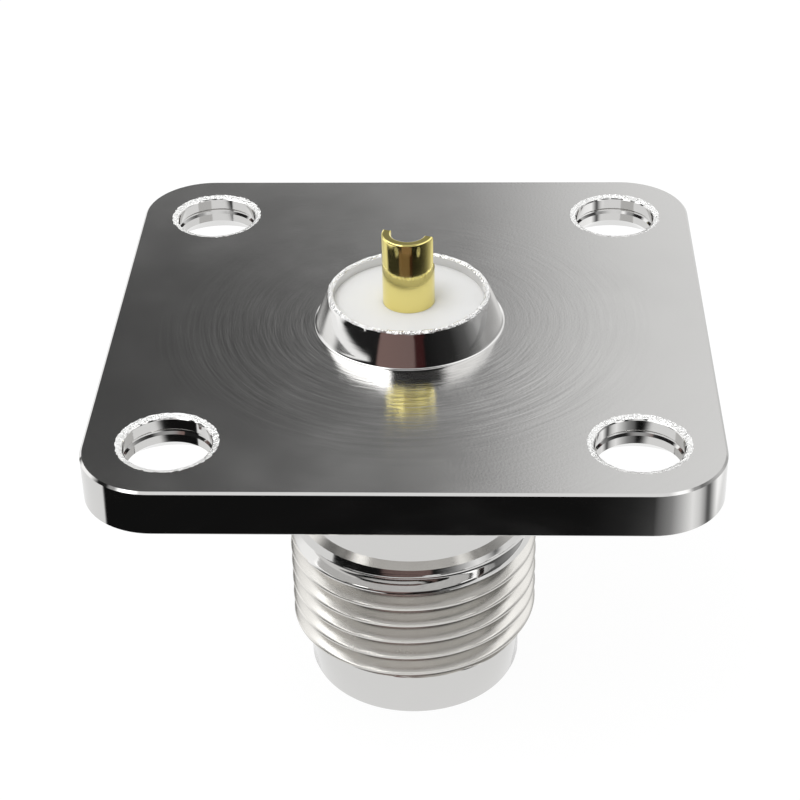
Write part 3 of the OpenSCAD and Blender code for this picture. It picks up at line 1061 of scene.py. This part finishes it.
# Three zones by how far a direction leans towards -X or +X: low behind the part, the band above
# the walls, and the ceiling over the camera's side
BACKDROP = [
    (-1.0, grey(1.4)),
    (-0.84, grey(1.4)),
    (-0.76, grey(0.07)),
    (-0.45, grey(0.07)),
    (-0.36, grey(1.5)),
    (0.35, grey(1.5)),
    (0.55, grey(0.6)),
    (1.0, grey(0.5)),
]
BAND = [
    (-1.0, grey(2.6)),
    (-0.42, grey(2.6)),
    (-0.30, grey(1.0)),
    (0.35, grey(1.0)),
    (0.50, grey(1.6)),
    (1.0, grey(1.6)),
]
CEILING = [
    (-1.0, grey(4.0)),
    (-0.27, grey(4.0)),
    (-0.20, grey(0.03)),
    (0.36, grey(0.02)),
    (0.46, grey(2.2)),
    (1.0, grey(2.4)),
]

# Plain greys: the upper walls near the camera, the bright horizon at -X, the ceiling behind the
# part, and the soft light that dull surfaces get from everywhere
UPPER_WALL = grey(0.42)
HORIZON = grey(1.2)
REAR_CEILING = grey(1.0)
SOFT_LIGHT = grey(0.62)
print("walls of", len(WALLS), "stops, floor of", len(FLOOR_RING), "and", len(FAR_FLOOR))

# %% [markdown]
# The world turns those lists into light. Each zone has a height or a side at which it fades in,
# given as a pair: where it starts and where it is full. Only the horizon's heights run the other
# way, because it is full when level and gone a little higher. The values are those of a direction
# of length 1, so 0 is level and 1 is straight up. Mirrors see the zones, and dull surfaces see a
# plain grey, so that the colours of the room don't tint them.

# %% World
BEHIND_Y = (0.0, 0.3)
BACKDROP_Z = (0.51, 0.12)
UPPER_WALL_Z = (0.57, 0.61)
HORIZON_X = (-0.68, -0.76)
HORIZON_Z = (0.02, 0.09)
BAND_Z = (0.64, 0.70)
CEILING_Z = (0.87, 0.91)


def ramp(tree, factor, stops):
    """A colour ramp with any number of stops."""
    node = put(tree, "ShaderNodeValToRGB", Fac=factor)
    elements = node.color_ramp.elements
    while len(elements) < len(stops):
        elements.new(0.5)
    for element, (at, colour) in zip(elements, stops):
        element.position = at
        element.color = colour
    return node.outputs["Color"]


def compass_ramp(tree, axis, stops):
    """Colours by compass angle, for a direction or a place that is split into its axes."""
    angle = calc(tree, "ARCTAN2", axis["X"], calc(tree, "MULTIPLY", axis["Y"], -1.0))
    compass = calc(tree, "ADD", calc(tree, "DIVIDE", angle, 2 * math.pi), 0.5)
    return ramp(tree, compass, [(at / 360 + 0.5, colour) for at, colour in stops])


def blend(tree, factor, first, second):
    """Mixes two colours. Sockets 6 and 7 and result 2 are the ones for colour."""
    node = put(tree, "ShaderNodeMix", {"data_type": "RGBA"})
    sockets = (node.inputs["Factor"], node.inputs[6], node.inputs[7])
    for socket, value in zip(sockets, (factor, first, second)):
        fill(tree, socket, value)
    return node.outputs[2]


def build_world():
    world = bpy.data.worlds.new("studio")
    bpy.context.scene.world = world
    world.use_nodes = True
    tree = world.node_tree
    direction = put(tree, "ShaderNodeTexCoord").outputs["Generated"]
    axis = put(tree, "ShaderNodeSeparateXYZ", Vector=direction).outputs
    walls = compass_ramp(tree, axis, WALLS)
    aside = calc(tree, "ADD", calc(tree, "MULTIPLY", axis["X"], 0.5), 0.5)
    ceiling, band, low_backdrop = (ramp(tree, aside, [(at * 0.5 + 0.5, colour) for at, colour in stops])
                                   for stops in (CEILING, BAND, BACKDROP))

    behind = smooth_fade(tree, axis["Y"], *BEHIND_Y)
    in_front = calc(tree, "SUBTRACT", 1.0, behind)
    backdrop = calc(tree, "MULTIPLY", behind, smooth_fade(tree, axis["Z"], *BACKDROP_Z))
    upper = calc(tree, "MULTIPLY", smooth_fade(tree, axis["Z"], *UPPER_WALL_Z), in_front)
    at_side = put(tree, "ShaderNodeMapRange", Value=axis["X"], From_Min=HORIZON_X[0],
                  From_Max=HORIZON_X[1]).outputs["Result"]
    level = calc(tree, "SUBTRACT", 1.0, smooth_fade(tree, axis["Z"], *HORIZON_Z))
    horizon = calc(tree, "MULTIPLY", at_side, level)
    walls = blend(tree, horizon, blend(tree, upper, walls, UPPER_WALL), HORIZON)
    sides = blend(tree, backdrop, walls, low_backdrop)
    banded = blend(tree, smooth_fade(tree, axis["Z"], *BAND_Z), sides, band)
    over = blend(tree, behind, ceiling, REAR_CEILING)
    seen_in_metal = blend(tree, smooth_fade(tree, axis["Z"], *CEILING_Z), banded, over)
    path = put(tree, "ShaderNodeLightPath").outputs
    soft = blend(tree, path["Is Glossy Ray"], SOFT_LIGHT, seen_in_metal)
    colour = blend(tree, path["Is Camera Ray"], soft, WHITE)
    fill(tree, tree.nodes["Background"].inputs["Color"], colour)
    return world


print("world:", build_world().name)

# %% [markdown]
# The floor is one large square. The camera sees it as white paper with the part's soft shadow.
# A mirror sees a white card under the part, and past the card's edge the two lists for the floor.
# The lamp is hidden from mirrors, because the zones of the world already stand for it.

# %% Floor and lamp
CARD_R = 31.0
RING_R = 45.0
BLUR = 2.0
FLOOR_HALF = 1.5
CARD = grey(0.95)
PAPER = grey(0.85)
PAPER_GLOW = 1.08
SHADOW_SHARE = 0.14


def build_floor():
    """A pale floor. Metal sees it white under the part and in the colours of the ramps further out."""
    mesh = bpy.data.meshes.new("floor")
    corners = [(-FLOOR_HALF, -FLOOR_HALF, 0), (FLOOR_HALF, -FLOOR_HALF, 0),
               (FLOOR_HALF, FLOOR_HALF, 0), (-FLOOR_HALF, FLOOR_HALF, 0)]
    mesh.from_pydata(corners, [], [(0, 1, 2, 3)])
    floor = bpy.data.objects.new("floor", mesh)
    bpy.context.scene.collection.objects.link(floor)

    material = bpy.data.materials.new("pale_floor")
    material.use_nodes = True
    tree = material.node_tree
    tree.nodes.remove(tree.nodes["Principled BSDF"])
    place = put(tree, "ShaderNodeTexCoord").outputs["Object"]
    axis = put(tree, "ShaderNodeSeparateXYZ", Vector=place).outputs
    out = put(tree, "ShaderNodeVectorMath", {"operation": "LENGTH"})
    fill(tree, out.inputs[0], place)

    def beyond(limit):
        return smooth_fade(tree, out.outputs["Value"], (limit - BLUR) * MM, (limit + BLUR) * MM)

    near = blend(tree, beyond(CARD_R), CARD, compass_ramp(tree, axis, FLOOR_RING))
    pattern = blend(tree, beyond(RING_R), near, compass_ramp(tree, axis, FAR_FLOOR))
    path = put(tree, "ShaderNodeLightPath").outputs
    in_metal = put(tree, "ShaderNodeEmission", Color=pattern, Strength=1.0)
    plain = put(tree, "ShaderNodeBsdfDiffuse", Color=PAPER)
    shown = put(tree, "ShaderNodeEmission", Color=WHITE, Strength=PAPER_GLOW)
    backdrop = put(tree, "ShaderNodeMixShader", Fac=SHADOW_SHARE)
    fill(tree, backdrop.inputs[1], shown.outputs[0])
    fill(tree, backdrop.inputs[2], plain.outputs[0])
    reflected = put(tree, "ShaderNodeMixShader", Fac=path["Is Glossy Ray"])
    fill(tree, reflected.inputs[1], plain.outputs[0])
    fill(tree, reflected.inputs[2], in_metal.outputs[0])
    whole = put(tree, "ShaderNodeMixShader", Fac=path["Is Camera Ray"])
    fill(tree, whole.inputs[1], reflected.outputs[0])
    fill(tree, whole.inputs[2], backdrop.outputs[0])
    fill(tree, tree.nodes["Material Output"].inputs["Surface"], whole.outputs[0])
    mesh.materials.append(material)
    return floor


def add_lamp(name, place, size, power):
    """A square soft lamp that points at the part. Metal shows the walls in place of the lamp."""
    data = bpy.data.lights.new(name, "AREA")
    data.size = size
    data.energy = power
    lamp = bpy.data.objects.new(name, data)
    aim = Vector((0, 0, flange_rear_z * MM)) - place
    lamp.matrix_world = Matrix.Translation(place) @ aim.to_track_quat("-Z", "Y").to_matrix().to_4x4()
    lamp.visible_glossy = False
    bpy.context.scene.collection.objects.link(lamp)
    return lamp


build_floor()
add_lamp("overhead_lamp", place=Vector((-0.12, -0.10, 0.35)), size=0.25, power=0.55)
bpy.context.scene.view_settings.view_transform = "Standard"
print("studio ready")
